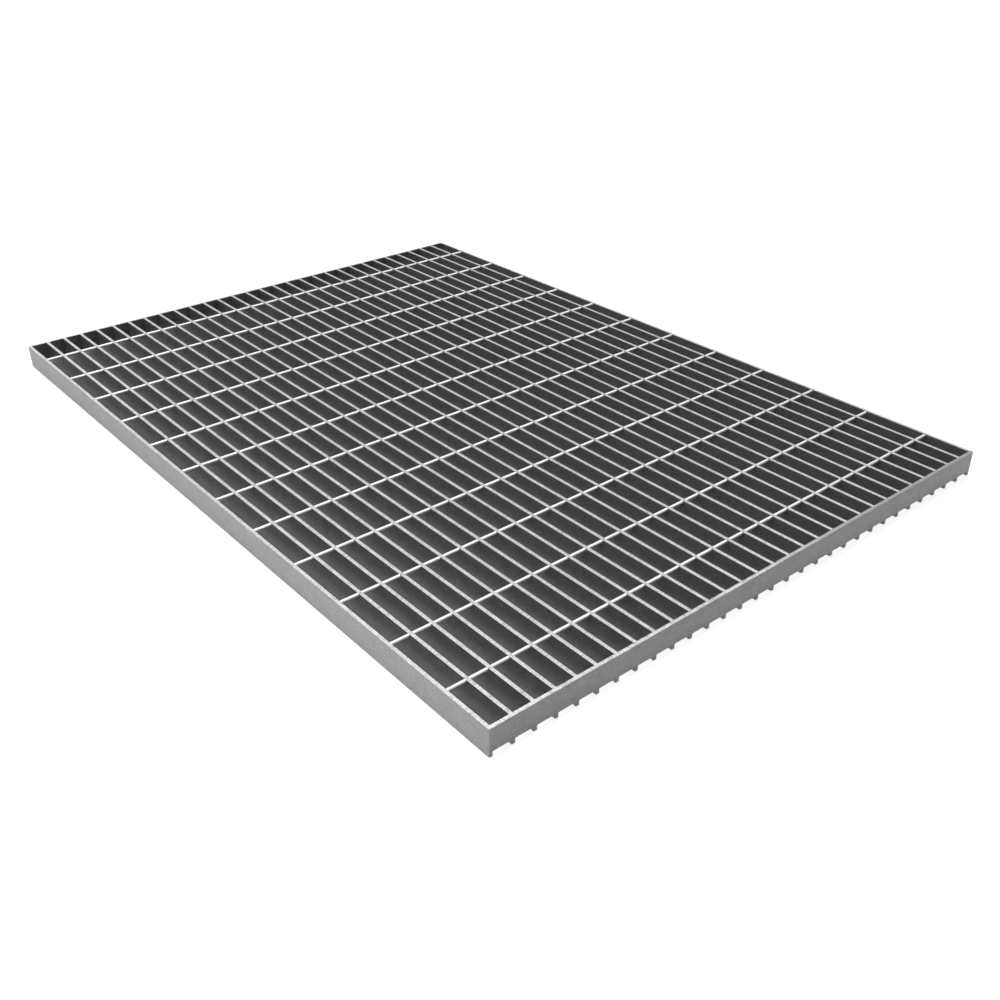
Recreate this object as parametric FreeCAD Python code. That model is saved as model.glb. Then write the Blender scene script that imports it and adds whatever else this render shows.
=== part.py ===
import FreeCAD, Part
import math
import os

# Welded steel bar grating, a panel with a band bar across each end.
# All lengths are in millimetres. X runs along the bearing bars, Y across them and Z up.
# The origin is under the middle of the panel, on the level of the bars' lower edges.

# Bearing bars: flat bars on edge, side by side
BAR_COUNT = 31
BAR_PITCH = 30.1625
BAR_DEPTH = 38.1
BAR_THICKNESS = 4.7625

# Cross rods: round rods pressed into the bars' upper edges
ROD_COUNT = 12
ROD_PITCH = 101.6
ROD_DIAMETER = 5.26
ROD_SIDES = 8
ROD_TOP_BELOW_BARS = 0.1
ROD_END_COVER = 1.6

# How far the bars run on past the middle of the last cross rod
BAR_OVERHANG = 76.2

# Band bars: shallower than the bearing bars, so that water drains out under them
BAND_DEPTH = 31.75
BAND_THICKNESS = 4.7625

# Sizes that follow from the ones above
panel_length = (ROD_COUNT - 1) * ROD_PITCH + 2 * BAR_OVERHANG
panel_width = (BAR_COUNT - 1) * BAR_PITCH + BAR_THICKNESS
band_bottom = BAR_DEPTH - BAND_DEPTH
rod_centre_height = BAR_DEPTH - ROD_TOP_BELOW_BARS - ROD_DIAMETER / 2
rod_length = panel_width - 2 * ROD_END_COVER


def centred_places(count, pitch):
    """Places of a row of equal steps, centred on zero."""
    return [(n - (count - 1) / 2) * pitch for n in range(count)]


def bearing_bar(y):
    """One flat bar on edge, its two ends cut back above the feet to seat the band bars."""
    half = panel_length / 2
    shoulder = half - BAND_THICKNESS
    side = y - BAR_THICKNESS / 2
    outline = [
        (-half, 0),
        (half, 0),
        (half, band_bottom),
        (shoulder, band_bottom),
        (shoulder, BAR_DEPTH),
        (-shoulder, BAR_DEPTH),
        (-shoulder, band_bottom),
        (-half, band_bottom),
    ]
    corners = [FreeCAD.Vector(x, side, z) for x, z in outline]
    face = Part.Face(Part.makePolygon(corners + corners[:1]))
    return face.extrude(FreeCAD.Vector(0, BAR_THICKNESS, 0))


def cross_rod(x):
    """One rod of few sides, flat side up, that ends inside the two outer bars."""
    corner_radius = ROD_DIAMETER / 2 / math.cos(math.pi / ROD_SIDES)
    corners = []
    for n in range(ROD_SIDES):
        angle = math.radians(90) + (2 * n + 1) * math.pi / ROD_SIDES
        corners.append(FreeCAD.Vector(
            x + corner_radius * math.cos(angle),
            -rod_length / 2,
            rod_centre_height + corner_radius * math.sin(angle),
        ))
    face = Part.Face(Part.makePolygon(corners + corners[:1]))
    return face.extrude(FreeCAD.Vector(0, rod_length, 0))


def grating_mat():
    """All bearing bars and cross rods, fused where they cross."""
    bars = [bearing_bar(y) for y in centred_places(BAR_COUNT, BAR_PITCH)]
    rods = [cross_rod(x) for x in centred_places(ROD_COUNT, ROD_PITCH)]
    mat = bars[0].multiFuse(bars[1:] + rods)
    return mat.Solids[0] if len(mat.Solids) == 1 else mat


def end_band(end):
    """The band bar at one end, flush with the bars' upper edges and with their ends."""
    outer_face = end * panel_length / 2
    inner_face = outer_face - end * BAND_THICKNESS
    corner = FreeCAD.Vector(min(outer_face, inner_face), -panel_width / 2, band_bottom)
    return Part.makeBox(BAND_THICKNESS, panel_width, BAND_DEPTH, corner)


os.makedirs("parts", exist_ok=True)
pieces = {
    "grating_mat": grating_mat(),
    "front_end_band": end_band(1),
    "back_end_band": end_band(-1),
}
for name, shape in pieces.items():
    shape.exportStep("parts/" + name + ".step")
    print(name, "valid", shape.isValid(), "solids", len(shape.Solids), "volume", round(shape.Volume, 1))
print("panel", round(panel_length, 1), "x", round(panel_width, 1), "x", BAR_DEPTH)
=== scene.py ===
import math

import bmesh
import bpy
from bpy.props import FloatProperty, FloatVectorProperty, IntProperty, PointerProperty
from mathutils import Euler, Matrix, Vector


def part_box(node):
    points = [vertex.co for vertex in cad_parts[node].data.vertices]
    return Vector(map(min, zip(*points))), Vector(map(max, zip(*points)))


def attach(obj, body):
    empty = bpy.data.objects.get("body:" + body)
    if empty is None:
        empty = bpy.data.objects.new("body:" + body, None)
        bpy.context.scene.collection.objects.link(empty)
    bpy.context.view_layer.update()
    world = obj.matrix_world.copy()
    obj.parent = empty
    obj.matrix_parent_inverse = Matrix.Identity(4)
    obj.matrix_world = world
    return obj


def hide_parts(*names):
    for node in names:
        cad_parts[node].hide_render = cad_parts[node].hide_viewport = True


bl_info = {
    "name": "Steel bar grating",
    "version": (1, 0, 0),
    "blender": (4, 5, 0),
    "location": "3D View > Sidebar > Grating",
    "description": "Dresses a welded steel bar grating panel and sets it on a pale studio floor",
    "category": "Add Mesh",
}

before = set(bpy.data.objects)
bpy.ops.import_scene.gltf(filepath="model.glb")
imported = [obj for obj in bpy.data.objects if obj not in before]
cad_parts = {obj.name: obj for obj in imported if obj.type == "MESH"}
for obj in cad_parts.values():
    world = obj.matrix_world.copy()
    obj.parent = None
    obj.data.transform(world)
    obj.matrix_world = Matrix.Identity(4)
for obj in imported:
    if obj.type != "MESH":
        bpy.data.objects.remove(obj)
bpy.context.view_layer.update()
MAT_LOW, MAT_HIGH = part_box("grating_mat")
BAND_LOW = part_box("front_end_band")[0]

# Two places closer than this are the same
SAME_PLACE = 1e-5
# Faces that meet at less than this angle lie in one plane
FLAT = math.radians(1)
# Faces that meet at less than this angle are shaded as one round surface
ROUND = math.radians(50)

# The grain on the flat bars is finer and stronger than on the rods
FLAT_BAR_GRAIN = {"Grain scale": 600.0, "Grain share": 4.0}

# White, and the strength at which a glow of it shows as plain white
WHITE = (1.0, 1.0, 1.0, 1.0)
FULL_WHITE = 1.0


# Settings


class GratingSizes(bpy.types.PropertyGroup):
    """Sizes of the bars and rods, in metres."""

    bar_count: IntProperty(
        name="Bearing bars", description="How many flat bars stand side by side", default=31, min=2
    )
    bar_thickness: FloatProperty(
        name="Bar thickness",
        description="Thickness of each bearing bar",
        default=0.0047625,
        unit="LENGTH",
        precision=4,
    )
    bar_edge_radius: FloatProperty(
        name="Bar edge radius",
        description="Rounding of the rolled edges of the flat bars",
        default=0.00015,
        unit="LENGTH",
        precision=5,
    )
    rod_count: IntProperty(
        name="Cross rods", description="How many round rods cross the bars", default=12, min=2
    )
    rod_diameter: FloatProperty(
        name="Rod diameter",
        description="Diameter of the round cross rods",
        default=0.00526,
        unit="LENGTH",
        precision=5,
    )
    rod_sides: IntProperty(
        name="Rod sides", description="Facets around each cross rod", default=24, min=8
    )
    rod_top_gap: FloatProperty(
        name="Rod top gap",
        description="How far the rods' tops lie below the bars' tops",
        default=0.0001,
        unit="LENGTH",
        precision=5,
    )
    rod_end_cover: FloatProperty(
        name="Rod end cover",
        description="Steel of the outer bar left beyond each rod end",
        default=0.0016,
        unit="LENGTH",
        precision=4,
    )
    bar_overhang: FloatProperty(
        name="Bar overhang",
        description="Length of bar beyond the middle of the last rod",
        default=0.0762,
        unit="LENGTH",
        precision=4,
    )


class GratingFinish(bpy.types.PropertyGroup):
    """Colours, shine and wear of the zinc coating."""

    # Partly wear and partly a painted highlight: the rubbed upper edges are lighter than the bars' faces
    bar_colour: FloatVectorProperty(
        name="Bar zinc",
        description="Colour of the rubbed zinc on the bearing bars' upper edges",
        default=(0.545, 0.545, 0.545),
        subtype="COLOR",
        size=3,
        min=0.0,
        max=1.0,
    )
    # Partly the band's zinc and partly painted shade on the front face, which is darker than the bars'
    # faces
    front_band_zinc_and_shade: FloatVectorProperty(
        name="Front band zinc",
        description="Colour of the zinc on the front band",
        default=(0.38, 0.38, 0.38),
        subtype="COLOR",
        size=3,
        min=0.0,
        max=1.0,
    )
    # The back band's top is lighter than the front band's as a painted highlight
    back_band_wear_and_highlight: FloatVectorProperty(
        name="Back band zinc",
        description="Colour of the rubbed zinc on the back band's upper edge",
        default=(0.7, 0.7, 0.7),
        subtype="COLOR",
        size=3,
        min=0.0,
        max=1.0,
    )
    rod_colour: FloatVectorProperty(
        name="Rod zinc",
        description="Colour of the zinc on the cross rods",
        default=(0.87, 0.87, 0.87),
        subtype="COLOR",
        size=3,
        min=0.0,
        max=1.0,
    )
    metal_share: FloatProperty(
        name="Metal share",
        description="How metallic the dull coating is",
        default=0.3,
        min=0.0,
        max=1.0,
        subtype="FACTOR",
    )
    dullness: FloatProperty(
        name="Dullness",
        description="Middle roughness of the dull coating",
        default=0.5,
        min=0.0,
        max=1.0,
        subtype="FACTOR",
    )
    rubbed_metal_share: FloatProperty(
        name="Rubbed metal share",
        description="How metallic the rubbed upper edges and the rods are",
        default=0.55,
        min=0.0,
        max=1.0,
        subtype="FACTOR",
    )
    rubbed_dullness: FloatProperty(
        name="Rubbed dullness",
        description="Middle roughness of the rubbed upper edges and the rods",
        default=0.36,
        min=0.0,
        max=1.0,
        subtype="FACTOR",
    )
    flat_bar_shine: FloatProperty(
        name="Flat bar shine",
        description="Strength of the mirror reflections on the flat bars' coating",
        default=0.25,
        min=0.0,
        max=1.0,
        subtype="FACTOR",
    )
    rod_shine: FloatProperty(
        name="Rod shine",
        description="Strength of the mirror reflections on the rods' coating",
        default=0.5,
        min=0.0,
        max=1.0,
        subtype="FACTOR",
    )
    # The faces are darker than the rubbed upper edges, partly as wear and partly as a painted highlight on
    # the edges
    face_shade: FloatProperty(
        name="Face shade",
        description="Brightness of the bars' dull outer faces, against their rubbed zinc",
        default=0.83,
        min=0.0,
        max=1.0,
        subtype="FACTOR",
    )
    # Painted shade on the walls inside the cells, on the bars' tips and on the rods' undersides
    inside_shade: FloatProperty(
        name="Inside shade",
        description="Brightness of the bars' walls inside the cells, against their outer faces",
        default=0.41,
        min=0.0,
        max=1.0,
        subtype="FACTOR",
    )
    # Painted shade on the end bands' inner faces
    band_inside_shade: FloatProperty(
        name="Band inside shade",
        description="Brightness of the end bands' inner faces, against their outer faces",
        default=0.41,
        min=0.0,
        max=1.0,
        subtype="FACTOR",
    )
    bar_rubbed_depth: FloatProperty(
        name="Bar rubbed depth",
        description="How far the rubbed zinc reaches down from the bars' upper edges",
        default=0.0001,
        unit="LENGTH",
        precision=5,
    )
    # Below this depth the rods' undersides fade into painted shade
    rod_rubbed_and_shade_depth: FloatProperty(
        name="Rod rubbed depth",
        description="How far the rubbed zinc reaches down round the rods",
        default=0.004,
        unit="LENGTH",
        precision=4,
    )


class GratingStudio(bpy.types.PropertyGroup):
    """The camera, the lamps and the floor."""

    view_place: FloatVectorProperty(
        name="Camera place",
        description="Where the camera stands",
        default=(1.2783, -0.9795, 0.7994),
        subtype="XYZ",
        unit="LENGTH",
        size=3,
    )
    view_heading: FloatProperty(
        name="Camera heading",
        description="Compass direction of the view, counted from +X towards +Y",
        default=math.radians(140.041),
        unit="ROTATION",
    )
    view_drop: FloatProperty(
        name="Camera drop",
        description="How far the view points below the horizon",
        default=math.radians(30.796),
        unit="ROTATION",
    )
    view_lens: FloatProperty(
        name="Lens", description="Focal length on a 36 mm wide picture, in mm", default=39.854
    )
    sky_light: FloatProperty(
        name="Sky light", description="Strength of the light from all round", default=0.03
    )
    top_light: FloatProperty(
        name="Top light",
        description="Power of the large lamp overhead",
        default=14.0,
        unit="POWER",
    )
    far_light: FloatProperty(
        name="Far light",
        description="Power of the high lamp over the far end",
        default=22.0,
        unit="POWER",
    )
    back_light: FloatProperty(
        name="Back light",
        description="Power of the high lamp over the right side",
        default=19.0,
        unit="POWER",
    )
    rim_light: FloatProperty(
        name="Rim light",
        description="Power of the low lamp beyond the far end",
        default=2.8,
        unit="POWER",
    )
    near_light: FloatProperty(
        name="Near light",
        description="Power of the small lamp over the near corner",
        default=2.0,
        unit="POWER",
    )
    left_light: FloatProperty(
        name="Left light",
        description="Power of the large lamp at the left",
        default=7.2,
        unit="POWER",
    )
    side_light: FloatProperty(
        name="Side light",
        description="Power of the low strip at the left",
        default=5.2,
        unit="POWER",
    )
    floor_glow: FloatProperty(
        name="Floor glow", description="White that the floor shows close to the panel", default=0.8
    )
    cell_glow: FloatProperty(
        name="Cell glow", description="White that the floor shows inside the cells", default=0.15
    )


# Bars and rods


def centred_places(count, pitch):
    """Places of a row of equal steps, centred on zero."""
    return [(n - (count - 1) / 2) * pitch for n in range(count)]


def add_object(name, data):
    """A new object in the scene."""
    made = bpy.data.objects.new(name, data)
    bpy.context.scene.collection.objects.link(made)
    return made


def finish_mesh(name, form, material):
    """Turns a bmesh into an object that rides on the panel."""
    bmesh.ops.recalc_face_normals(form, faces=form.faces)
    mesh = bpy.data.meshes.new(name)
    form.to_mesh(mesh)
    form.free()
    mesh.materials.append(material)
    piece = add_object(name, mesh)
    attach(piece, "root")
    return piece


def smooth_by_angle(form):
    """Shades a form smooth, apart from its sharp edges."""
    for face in form.faces:
        face.smooth = True
    for edge in form.edges:
        if len(edge.link_faces) == 2:
            edge.smooth = edge.calc_face_angle(0.0) < ROUND


def add_block(form, low, high):
    """A box between two corners."""
    size = [b - a for a, b in zip(low, high)]
    middle = [(a + b) / 2 for a, b in zip(low, high)]
    place = Matrix.Translation(middle) @ Matrix.Diagonal((*size, 1.0))
    bmesh.ops.create_cube(form, size=1.0, matrix=place)


def round_edges(form, edges, radius):
    """Rounds some edges of a form, and shades it smooth where it is round."""
    bmesh.ops.bevel(
        form,
        geom=edges,
        offset=radius,
        offset_type="OFFSET",
        segments=2,
        profile=0.5,
        affect="EDGES",
        clamp_overlap=True,
        material=-1,
    )
    smooth_by_angle(form)


def notched_bar(sizes):
    """One bearing bar on edge at y = 0: full depth between the end bands, with a foot below each band."""
    shoulder = BAND_LOW.x
    foot_top = BAND_LOW.z
    form = bmesh.new()
    add_block(
        form,
        (-shoulder, -sizes.bar_thickness / 2, MAT_LOW.z),
        (shoulder, sizes.bar_thickness / 2, MAT_HIGH.z),
    )
    bmesh.ops.bisect_plane(
        form,
        geom=form.verts[:] + form.edges[:] + form.faces[:],
        plane_co=(0, 0, foot_top),
        plane_no=(0, 0, 1),
    )

    # The end faces below the notches are drawn out into feet
    foot_length = MAT_HIGH.x - shoulder
    for end in (-1, 1):
        root = [
            face
            for face in form.faces
            if face.normal.x * end > 0.5 and face.calc_center_median().z < foot_top
        ]
        foot = bmesh.ops.extrude_face_region(form, geom=root)
        tip = [part for part in foot["geom"] if isinstance(part, bmesh.types.BMVert)]
        bmesh.ops.translate(form, vec=(end * foot_length, 0, 0), verts=tip)
        bmesh.ops.delete(form, geom=root, context="FACES_ONLY")
    bmesh.ops.dissolve_limit(form, angle_limit=FLAT, verts=form.verts, edges=form.edges)

    # The band bar covers these edges, so they stay sharp
    def under_band(edge):
        return all(
            abs(vert.co.x) > shoulder - SAME_PLACE and vert.co.z > foot_top - SAME_PLACE
            for vert in edge.verts
        )

    free = [edge for edge in form.edges if not under_band(edge) and edge.calc_face_angle() > FLAT]
    round_edges(form, free, sizes.bar_edge_radius)
    return form


def bearing_bars(sizes, material):
    """All the bearing bars, as one piece."""
    width = MAT_HIGH.y - MAT_LOW.y
    pitch = (width - sizes.bar_thickness) / (sizes.bar_count - 1)
    single = notched_bar(sizes)
    pattern = bpy.data.meshes.new("bar_pattern")
    single.to_mesh(pattern)
    single.free()
    form = bmesh.new()
    for y in centred_places(sizes.bar_count, pitch):
        before = len(form.verts)
        form.from_mesh(pattern)
        form.verts.ensure_lookup_table()
        bmesh.ops.translate(form, vec=(0, y, 0), verts=form.verts[before:])
    bpy.data.meshes.remove(pattern)
    return finish_mesh("bearing_bars", form, material)


def cross_rods(sizes, material):
    """All the cross rods, as one piece."""
    radius = sizes.rod_diameter / 2
    length = MAT_HIGH.y - MAT_LOW.y - 2 * sizes.rod_end_cover
    height = MAT_HIGH.z - sizes.rod_top_gap - radius
    pitch = (MAT_HIGH.x - MAT_LOW.x - 2 * sizes.bar_overhang) / (sizes.rod_count - 1)
    lying = Matrix.Rotation(math.radians(90), 4, "X")
    form = bmesh.new()
    for x in centred_places(sizes.rod_count, pitch):
        bmesh.ops.create_cone(
            form,
            cap_ends=True,
            segments=sizes.rod_sides,
            radius1=radius,
            radius2=radius,
            depth=length,
            matrix=Matrix.Translation((x, 0, height)) @ lying,
        )
    smooth_by_angle(form)
    return finish_mesh("cross_rods", form, material)


def end_band(node, sizes, material):
    """One band bar, over the node that it stands for; its inner edges stay sharp against the bars."""
    low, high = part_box(node)
    inner_face = min(abs(low.x), abs(high.x))
    form = bmesh.new()
    add_block(form, low, high)
    free = [
        edge
        for edge in form.edges
        if any(abs(vert.co.x) > inner_face + SAME_PLACE for vert in edge.verts)
    ]
    round_edges(form, free, sizes.bar_edge_radius)
    return finish_mesh(node + "_bar", form, material)


# Shader nodes and the zinc


def new_group(name, inputs, outputs):
    """An empty shader node group with named sockets; returns the tree and its two end nodes."""
    tree = bpy.data.node_groups.new(name, "ShaderNodeTree")
    for label, kind, value in inputs:
        socket = tree.interface.new_socket(label, in_out="INPUT", socket_type=kind)
        if value is not None:
            socket.default_value = value
    for label, kind in outputs:
        tree.interface.new_socket(label, in_out="OUTPUT", socket_type=kind)
    return tree, tree.nodes.new("NodeGroupInput"), tree.nodes.new("NodeGroupOutput")


def feed(tree, socket, value):
    """Gives an input its value: a link where that comes from another node, or else a constant."""
    if isinstance(value, bpy.types.NodeSocket):
        tree.links.new(value, socket)
    else:
        socket.default_value = value


def maths(tree, operation, first, second, clamp=False):
    """A Math node; each of its two inputs is a socket or a number."""
    node = tree.nodes.new("ShaderNodeMath")
    node.operation = operation
    node.use_clamp = clamp
    feed(tree, node.inputs[0], first)
    feed(tree, node.inputs[1], second)
    return node.outputs[0]


def ramp(tree, value, start, end, low, high):
    """A smooth step from low to high, as the value goes from start to end."""
    node = tree.nodes.new("ShaderNodeMapRange")
    node.interpolation_type = "SMOOTHSTEP"
    feed(tree, node.inputs["Value"], value)
    feed(tree, node.inputs["From Min"], start)
    feed(tree, node.inputs["From Max"], end)
    feed(tree, node.inputs["To Min"], low)
    feed(tree, node.inputs["To Max"], high)
    return node.outputs["Result"]


def zinc_group():
    """Mottled zinc: soft clouds, small crystals and fine grain, dull or rubbed bright; the rubbed parts are
    lighter partly as wear and partly as a painted highlight, and painted shade darkens the cells' walls.
    """
    tree, start, end = new_group(
        "Zinc coating",
        [
            ("Vector", "NodeSocketVector", None),
            ("Colour", "NodeSocketColor", (0.4, 0.4, 0.4, 1.0)),
            ("Contrast", "NodeSocketFloat", 0.1),
            ("Rubbed contrast", "NodeSocketFloat", 0.3),
            ("Inside contrast", "NodeSocketFloat", 0.2),
            ("Dullness", "NodeSocketFloat", 0.5),
            ("Rubbed dullness", "NodeSocketFloat", 0.4),
            ("Metal", "NodeSocketFloat", 0.3),
            ("Rubbed metal", "NodeSocketFloat", 0.6),
            ("Face shade", "NodeSocketFloat", 1.0),
            ("Inside shade", "NodeSocketFloat", 1.0),
            ("Side shade", "NodeSocketFloat", 1.0),
            ("Rubbed", "NodeSocketFloat", 0.0),
            ("In shade", "NodeSocketFloat", 0.0),
            ("Side", "NodeSocketFloat", 0.0),
            ("Cloud scale", "NodeSocketFloat", 45.0),
            ("Crystal scale", "NodeSocketFloat", 160.0),
            ("Grain scale", "NodeSocketFloat", 420.0),
            ("Grain share", "NodeSocketFloat", 2.0),
        ],
        [
            ("Colour", "NodeSocketColor"),
            ("Metal", "NodeSocketFloat"),
            ("Roughness", "NodeSocketFloat"),
            ("Height", "NodeSocketFloat"),
        ],
    )
    nodes, link = tree.nodes, tree.links.new

    def texture(kind, scale, **values):
        # A pattern over the group's Vector, at the size that one of its inputs gives
        node = nodes.new(kind)
        link(start.outputs["Vector"], node.inputs["Vector"])
        link(start.outputs[scale], node.inputs["Scale"])
        for label, value in values.items():
            node.inputs[label].default_value = value
        return node

    def about_zero(value, share):
        # A share of a pattern, moved down so that its middle is 0
        return maths(tree, "MULTIPLY", maths(tree, "SUBTRACT", value, 0.5), share)

    def shaded(value, shade, where):
        # The value times the shade where the mask is 1, and as it was where the mask is 0
        loss = maths(tree, "SUBTRACT", 1.0, start.outputs[shade])
        loss = maths(tree, "MULTIPLY", loss, where)
        return maths(tree, "MULTIPLY", value, maths(tree, "SUBTRACT", 1.0, loss))

    def where_rubbed(plain, rubbed):
        # One input on the dull coating and another where it is rubbed
        change = maths(tree, "SUBTRACT", start.outputs[rubbed], start.outputs[plain])
        change = maths(tree, "MULTIPLY", change, start.outputs["Rubbed"])
        return maths(tree, "ADD", start.outputs[plain], change)

    clouds = texture("ShaderNodeTexNoise", "Cloud scale", Detail=4.0, Roughness=0.6).outputs["Fac"]
    grain = texture("ShaderNodeTexNoise", "Grain scale", Detail=2.0, Roughness=0.6).outputs["Fac"]
    crystals = nodes.new("ShaderNodeSeparateColor")
    link(texture("ShaderNodeTexVoronoi", "Crystal scale").outputs["Color"], crystals.inputs["Color"])

    # Each pattern is about 0.5 in the middle; the shares add up to a tone about zero
    crystal_share = 0.3
    tone = maths(tree, "ADD", about_zero(clouds, 1.0), about_zero(grain, start.outputs["Grain share"]))
    tone = maths(tree, "ADD", tone, about_zero(crystals.outputs[0], crystal_share))
    contrast = where_rubbed("Contrast", "Rubbed contrast")
    more = maths(tree, "MULTIPLY", start.outputs["Inside contrast"], start.outputs["In shade"])
    contrast = maths(tree, "ADD", contrast, more)
    bright = maths(tree, "ADD", maths(tree, "MULTIPLY", tone, contrast), 1.0)
    # The rubbed parts are lighter than the faces, partly as wear and partly as a painted highlight; where
    # the shade mask is 1 the walls get painted shade
    not_rubbed = maths(tree, "SUBTRACT", 1.0, start.outputs["Rubbed"])
    bright = shaded(bright, "Face shade", not_rubbed)
    bright = shaded(bright, "Inside shade", start.outputs["In shade"])
    bright = shaded(bright, "Side shade", start.outputs["Side"])
    colour = nodes.new("ShaderNodeVectorMath")
    colour.operation = "SCALE"
    link(start.outputs["Colour"], colour.inputs[0])
    link(bright, colour.inputs["Scale"])
    link(colour.outputs[0], end.inputs["Colour"])
    link(where_rubbed("Metal", "Rubbed metal"), end.inputs["Metal"])

    # Bright spots are a little smoother than dark ones
    roughness_share = -0.12
    roughness = where_rubbed("Dullness", "Rubbed dullness")
    roughness = maths(tree, "ADD", maths(tree, "MULTIPLY", tone, roughness_share), roughness)
    link(roughness, end.inputs["Roughness"])

    # The relief is that of the clouds, with lower grain on them
    grain_height = 0.6
    height = maths(tree, "ADD", maths(tree, "MULTIPLY", grain, grain_height), clouds)
    link(height, end.inputs["Height"])
    return tree


def wear_and_shade_group():
    """Three masks: Rubbed near the top, partly wear and partly a painted highlight; a mask for painted
    shade below the top and behind the outer faces; Side on the two long sides.
    """
    tree, start, end = new_group(
        "Wear and painted shade of the panel",
        [
            ("Vector", "NodeSocketVector", None),
            ("Top", "NodeSocketFloat", MAT_HIGH.z),
            ("Half length", "NodeSocketFloat", MAT_HIGH.x),
            ("Half width", "NodeSocketFloat", MAT_HIGH.y),
            ("Rubbed depth", "NodeSocketFloat", 0.001),
            ("Skin", "NodeSocketFloat", 0.001),
            ("Foot light start", "NodeSocketFloat", 0.011),
            ("Foot depth", "NodeSocketFloat", 0.033),
            ("Foot light share", "NodeSocketFloat", 0.65),
        ],
        [("Rubbed", "NodeSocketFloat"), ("In shade", "NodeSocketFloat"), ("Side", "NodeSocketFloat")],
    )
    place = tree.nodes.new("ShaderNodeSeparateXYZ")
    tree.links.new(start.outputs["Vector"], place.inputs[0])
    depth = maths(tree, "SUBTRACT", start.outputs["Top"], place.outputs["Z"])
    below = maths(tree, "DIVIDE", depth, start.outputs["Rubbed depth"], clamp=True)
    tree.links.new(maths(tree, "SUBTRACT", 1.0, below), end.inputs["Rubbed"])

    def within(axis, half):
        # 0 on the panel's outer faces across this axis, and 1 from a skin's depth behind them
        from_middle = maths(tree, "ABSOLUTE", place.outputs[axis], 0.0)
        behind_face = maths(tree, "SUBTRACT", start.outputs[half], from_middle)
        return maths(tree, "DIVIDE", behind_face, start.outputs["Skin"], clamp=True)

    within_width = within("Y", "Half width")
    # Painted shade: below the rubbed top and a skin's depth behind the outer faces
    in_shade = maths(tree, "MULTIPLY", below, within("X", "Half length"))
    in_shade = maths(tree, "MULTIPLY", in_shade, within_width)
    side = maths(tree, "MULTIPLY", maths(tree, "SUBTRACT", 1.0, within_width), below)
    tree.links.new(side, end.inputs["Side"])

    # Painted light from below: the painted shade fades towards the bars' feet, so the lower walls and the
    # feet are lighter
    foot = ramp(tree, depth, start.outputs["Foot light start"], start.outputs["Foot depth"], 0.0, 1.0)
    painted_foot_light = maths(tree, "MULTIPLY", foot, start.outputs["Foot light share"])
    in_shade = maths(tree, "MULTIPLY", in_shade, maths(tree, "SUBTRACT", 1.0, painted_foot_light))
    tree.links.new(in_shade, end.inputs["In shade"])
    return tree


def shared_group(name, maker):
    """A node group that several materials use, made once."""
    return bpy.data.node_groups.get(name) or maker()


def zinc_material(name, finish, shine, stretch, wear_and_shade, coat):
    """Galvanised steel, with a pattern that is drawn out along each axis whose stretch is under 1.

    The first dict holds the inputs of the masks for wear and painted shade, and coat those of the zinc;
    both differ from piece to piece.
    """
    material = bpy.data.materials.new(name)
    material.use_nodes = True
    nodes, link = material.node_tree.nodes, material.node_tree.links.new
    shader = nodes["Principled BSDF"]
    shader.inputs["Specular IOR Level"].default_value = shine
    place = nodes.new("ShaderNodeTexCoord")
    mapping = nodes.new("ShaderNodeMapping")
    mapping.inputs["Scale"].default_value = stretch
    link(place.outputs["Object"], mapping.inputs["Vector"])
    wear_and_shade_masks = nodes.new("ShaderNodeGroup")
    wear_and_shade_masks.node_tree = shared_group("Wear and painted shade of the panel", wear_and_shade_group)
    link(place.outputs["Object"], wear_and_shade_masks.inputs["Vector"])
    zinc = nodes.new("ShaderNodeGroup")
    zinc.node_tree = shared_group("Zinc coating", zinc_group)
    link(mapping.outputs["Vector"], zinc.inputs["Vector"])
    common = {
        "Dullness": finish.dullness,
        "Rubbed dullness": finish.rubbed_dullness,
        "Metal": finish.metal_share,
        "Rubbed metal": finish.rubbed_metal_share,
    }
    for group, values in ((wear_and_shade_masks, wear_and_shade), (zinc, {**common, **coat})):
        for label, value in values.items():
            group.inputs[label].default_value = value
    # The masks for wear with its painted highlight, for painted shade, and for the long sides
    for label in ("Rubbed", "In shade", "Side"):
        link(wear_and_shade_masks.outputs[label], zinc.inputs[label])
    link(zinc.outputs["Colour"], shader.inputs["Base Color"])
    link(zinc.outputs["Metal"], shader.inputs["Metallic"])
    link(zinc.outputs["Roughness"], shader.inputs["Roughness"])

    # The coating's relief is a few tenths of a millimetre, and soft
    bump = nodes.new("ShaderNodeBump")
    bump.inputs["Strength"].default_value = 0.15
    bump.inputs["Distance"].default_value = 0.0004
    link(zinc.outputs["Height"], bump.inputs["Height"])
    link(bump.outputs["Normal"], shader.inputs["Normal"])
    return material


# Studio


def background_rays(tree):
    """1 where the camera, a reflection or a clear surface looks, 0 for the light that falls on things."""
    path = tree.nodes.new("ShaderNodeLightPath")
    total = path.outputs["Is Camera Ray"]
    for label in ("Is Glossy Ray", "Is Transmission Ray"):
        total = maths(tree, "ADD", total, path.outputs[label], clamp=True)
    return total


def studio_world(studio):
    """White behind everything, and a dimmer even light from all round."""
    world = bpy.data.worlds.new("Studio")
    world.use_nodes = True
    tree = world.node_tree
    background = tree.nodes["Background"]
    background.inputs["Color"].default_value = WHITE
    strength = tree.nodes.new("ShaderNodeMix")
    strength.data_type = "FLOAT"
    strength.inputs["A"].default_value = studio.sky_light
    strength.inputs["B"].default_value = FULL_WHITE
    tree.links.new(background_rays(tree), strength.inputs["Factor"])
    tree.links.new(strength.outputs["Result"], background.inputs["Strength"])
    bpy.context.scene.world = world


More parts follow.
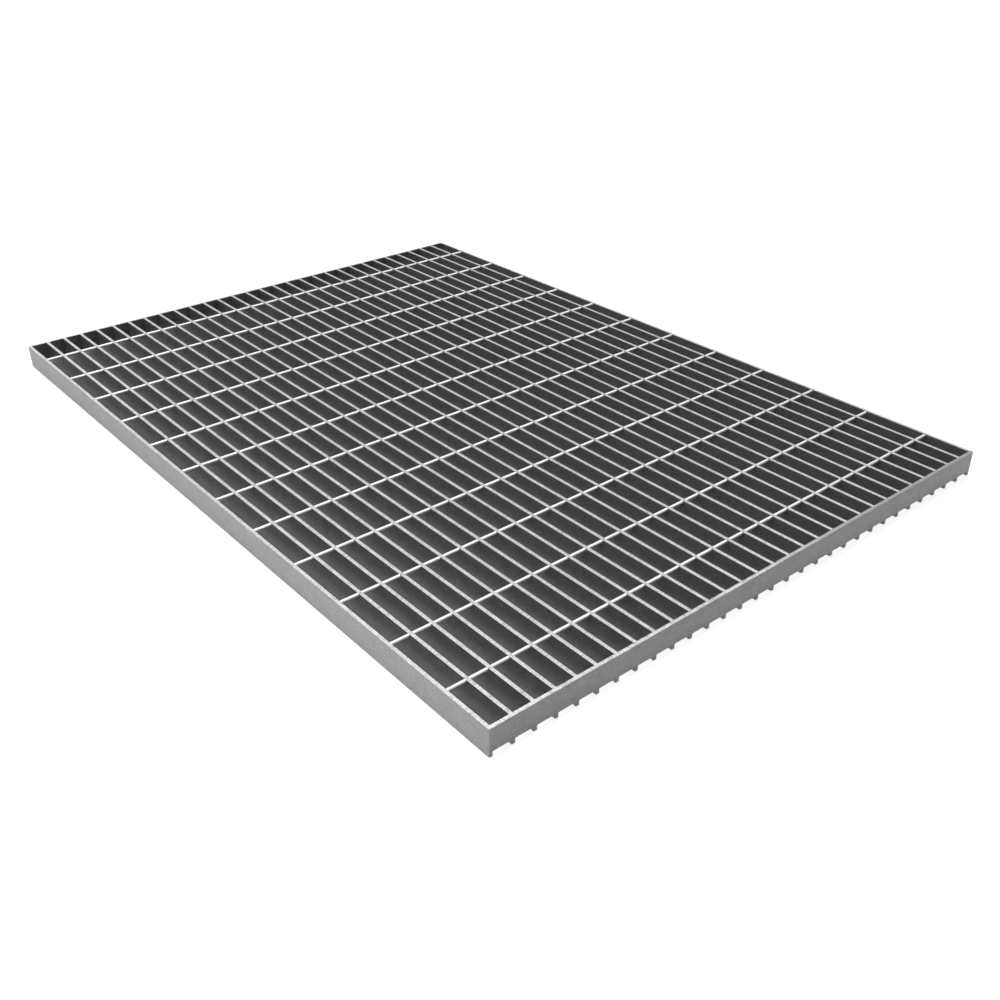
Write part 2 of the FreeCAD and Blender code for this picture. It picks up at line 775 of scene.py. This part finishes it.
def outline_reach(tree):
    """Distances from the panel's outline on the floor: how far outside, and how far inside."""

    def vector_maths(operation, first, second=None):
        # A Vector Math node; its first input is a socket, and its second, if any, is a vector
        node = tree.nodes.new("ShaderNodeVectorMath")
        node.operation = operation
        tree.links.new(first, node.inputs[0])
        if second is not None:
            node.inputs[1].default_value = second
        return node

    # The last number only keeps the floor's height out of the distance
    half_size = (MAT_HIGH.x, MAT_HIGH.y, 1.0)
    place = tree.nodes.new("ShaderNodeTexCoord")
    from_middle = vector_maths("ABSOLUTE", place.outputs["Object"])
    past_edge = vector_maths("SUBTRACT", from_middle.outputs[0], half_size)
    only_outside = vector_maths("MAXIMUM", past_edge.outputs[0], (0.0, 0.0, 0.0))
    outside = vector_maths("LENGTH", only_outside.outputs[0])
    past = tree.nodes.new("ShaderNodeSeparateXYZ")
    tree.links.new(past_edge.outputs[0], past.inputs[0])
    nearest = maths(tree, "MAXIMUM", past.outputs["X"], past.outputs["Y"])
    return outside.outputs["Value"], maths(tree, "MULTIPLY", nearest, -1.0)


def studio_floor(studio):
    """A pale floor that turns white in the view, keeps the shadow and stays dim under the panel."""
    half_width = 8.0
    form = bmesh.new()
    bmesh.ops.create_grid(form, x_segments=1, y_segments=1, size=half_width)
    mesh = bpy.data.meshes.new("floor")
    form.to_mesh(mesh)
    form.free()
    material = bpy.data.materials.new("Pale floor")
    material.use_nodes = True
    tree = material.node_tree
    shader = tree.nodes["Principled BSDF"]
    shader.inputs["Base Color"].default_value = (0.8, 0.8, 0.8, 1.0)
    shader.inputs["Roughness"].default_value = 1.0
    shader.inputs["Specular IOR Level"].default_value = 0.0
    shader.inputs["Emission Color"].default_value = WHITE

    # In metres: the floor is plain white beyond fade_end, and dim from the rim inwards
    fade_start = 0.1
    fade_end = 0.8
    rim = 0.02
    outside, inside = outline_reach(tree)
    beside = ramp(tree, outside, fade_start, fade_end, studio.floor_glow, FULL_WHITE)
    under = ramp(tree, inside, 0.0, rim, FULL_WHITE, studio.cell_glow)
    strength = background_rays(tree)
    for share in (beside, under):
        strength = maths(tree, "MULTIPLY", strength, share)
    tree.links.new(strength, shader.inputs["Emission Strength"])
    mesh.materials.append(material)
    add_object("floor", mesh)


def lamp(name, power, size, place, target):
    """A soft lamp, width by height, that faces a point."""
    data = bpy.data.lights.new(name, "AREA")
    data.shape = "RECTANGLE"
    data.size, data.size_y = size
    data.energy = power
    light = add_object(name, data)
    light.location = place
    light.rotation_euler = (Vector(target) - Vector(place)).to_track_quat("-Z", "Y").to_euler()


def studio_lamps(studio):
    """Three large high lamps, a low one beyond the far end, and fills at the left and the near corner."""
    middle = (0.0, 0.0, 0.0)
    near_corner = (0.5, -0.5, 0.0)
    over_near_corner = (0.5, -0.5, 0.8)
    strip_place = (0.0, -3.0, 0.3)
    strip_target = (0.0, 0.0, 0.3)
    large = (1.5, 1.5)
    upright = (0.8, 1.0)
    small = (0.5, 0.5)
    strip = (3.0, 0.5)
    lamp("top_lamp", studio.top_light, large, (-0.55, 0.55, 2.9), middle)
    lamp("far_lamp", studio.far_light, large, (-1.5, 0.0, 2.6), middle)
    lamp("back_lamp", studio.back_light, large, (0.0, 1.72, 2.46), middle)
    lamp("rim_lamp", studio.rim_light, upright, (-2.65, 0.0, 1.41), middle)
    lamp("left_lamp", studio.left_light, large, (-0.84, -2.31, 1.72), middle)
    lamp("near_lamp", studio.near_light, small, over_near_corner, near_corner)
    lamp("side_strip", studio.side_light, strip, strip_place, strip_target)


def studio_camera(studio):
    """The camera at the photographed view."""
    data = bpy.data.cameras.new("camera")
    data.sensor_width = 36.0
    data.lens = studio.view_lens
    camera = add_object("camera", data)
    camera.location = studio.view_place
    quarter = math.radians(90)
    camera.rotation_euler = Euler((quarter - studio.view_drop, 0.0, studio.view_heading - quarter))
    bpy.context.scene.camera = camera


# Operators, panel and the run


class GRATING_OT_bearing_bars(bpy.types.Operator):
    """Make the flat bearing bars"""

    bl_idname = "grating.bearing_bars"
    bl_label = "Bearing bars"

    def execute(self, context):
        scene = context.scene
        finish = scene.grating_finish
        # Counted as twice as long, the panel has no end faces here: the bars' tips get the same painted
        # shade as the walls
        material = zinc_material(
            "Galvanised bar",
            finish,
            shine=finish.flat_bar_shine,
            stretch=(1.0, 0.35, 1.0),
            wear_and_shade={"Rubbed depth": finish.bar_rubbed_depth, "Half length": 2 * MAT_HIGH.x},
            coat={
                **FLAT_BAR_GRAIN,
                "Colour": (*finish.bar_colour, 1.0),
                # The faces are darker than the rubbed tops, partly as wear and partly as a painted
                # highlight; the walls of the cells get painted shade
                "Face shade": finish.face_shade,
                "Inside shade": finish.inside_shade,
                "Contrast": 0.14,
                "Rubbed contrast": 0.5,
            },
        )
        piece = bearing_bars(scene.grating_sizes, material)
        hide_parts("grating_mat")
        return {"FINISHED"}


class GRATING_OT_cross_rods(bpy.types.Operator):
    """Make the round cross rods"""

    bl_idname = "grating.cross_rods"
    bl_label = "Cross rods"

    def execute(self, context):
        scene = context.scene
        finish = scene.grating_finish
        material = zinc_material(
            "Galvanised rod",
            finish,
            shine=finish.rod_shine,
            stretch=(1.0, 0.7, 1.0),
            wear_and_shade={"Rubbed depth": finish.rod_rubbed_and_shade_depth},
            coat={
                "Colour": (*finish.rod_colour, 1.0),
                # Painted shade on the rods' undersides, below the rubbed band
                "Inside shade": finish.inside_shade,
                "Contrast": 0.1,
                "Rubbed contrast": 0.05,
            },
        )
        piece = cross_rods(scene.grating_sizes, material)
        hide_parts("grating_mat")
        return {"FINISHED"}


class GRATING_OT_end_bands(bpy.types.Operator):
    """Make the band bar across each end"""

    bl_idname = "grating.end_bands"
    bl_label = "End bands"

    def execute(self, context):
        scene = context.scene
        finish = scene.grating_finish
        colours = {
            "front_end_band": finish.front_band_zinc_and_shade,
            "back_end_band": finish.back_band_wear_and_highlight,
        }
        # The two bands' outer faces are alike, and their end faces are as bright as the outer bars; the
        # bands' faces are darker than the bars' partly as painted shade, the back band's top is lighter as
        # a painted highlight, and the inner faces get painted shade
        face = finish.front_band_zinc_and_shade.v
        for node, colour in colours.items():
            material = zinc_material(
                "Galvanised " + node,
                finish,
                shine=finish.flat_bar_shine,
                stretch=(0.35, 1.0, 1.0),
                wear_and_shade={"Rubbed depth": finish.bar_rubbed_depth, "Foot light share": 0.0},
                coat={
                    **FLAT_BAR_GRAIN,
                    "Colour": (*colour, 1.0),
                    "Face shade": face / colour.v,
                    "Inside shade": finish.band_inside_shade,
                    "Side shade": finish.bar_colour.v * finish.face_shade / face,
                    "Contrast": 0.19,
                    "Rubbed contrast": 0.45,
                },
            )
            piece = end_band(node, scene.grating_sizes, material)
            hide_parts(node)
        return {"FINISHED"}


class GRATING_OT_studio(bpy.types.Operator):
    """Set up the floor, the lamps and the camera"""

    bl_idname = "grating.studio"
    bl_label = "Studio"

    def execute(self, context):
        scene = context.scene
        studio = scene.grating_studio
        studio_world(studio)
        studio_floor(studio)
        studio_lamps(studio)
        studio_camera(studio)
        scene.view_settings.view_transform = "Standard"
        return {"FINISHED"}


class GRATING_PT_panel(bpy.types.Panel):
    """Buttons for the grating, in the sidebar"""

    bl_idname = "GRATING_PT_panel"
    bl_label = "Grating"
    bl_space_type = "VIEW_3D"
    bl_region_type = "UI"
    bl_category = "Grating"

    def draw(self, context):
        for operator in OPERATORS:
            self.layout.operator(operator.bl_idname)


GROUPS = {
    "grating_sizes": GratingSizes,
    "grating_finish": GratingFinish,
    "grating_studio": GratingStudio,
}
OPERATORS = (
    GRATING_OT_bearing_bars,
    GRATING_OT_cross_rods,
    GRATING_OT_end_bands,
    GRATING_OT_studio,
)


def register():
    """Registers the settings, the operators and the panel."""
    for name, group in GROUPS.items():
        bpy.utils.register_class(group)
        setattr(bpy.types.Scene, name, PointerProperty(type=group))
    for kind in (*OPERATORS, GRATING_PT_panel):
        bpy.utils.register_class(kind)


def unregister():
    """Takes away what register added."""
    for kind in reversed((*OPERATORS, GRATING_PT_panel)):
        bpy.utils.unregister_class(kind)
    for name, group in reversed(GROUPS.items()):
        delattr(bpy.types.Scene, name)
        bpy.utils.unregister_class(group)


def main():
    """Builds the grating and its studio."""
    register()
    bpy.ops.grating.bearing_bars()
    bpy.ops.grating.cross_rods()
    bpy.ops.grating.end_bands()
    bpy.ops.grating.studio()


if __name__ == "__main__":
    main()
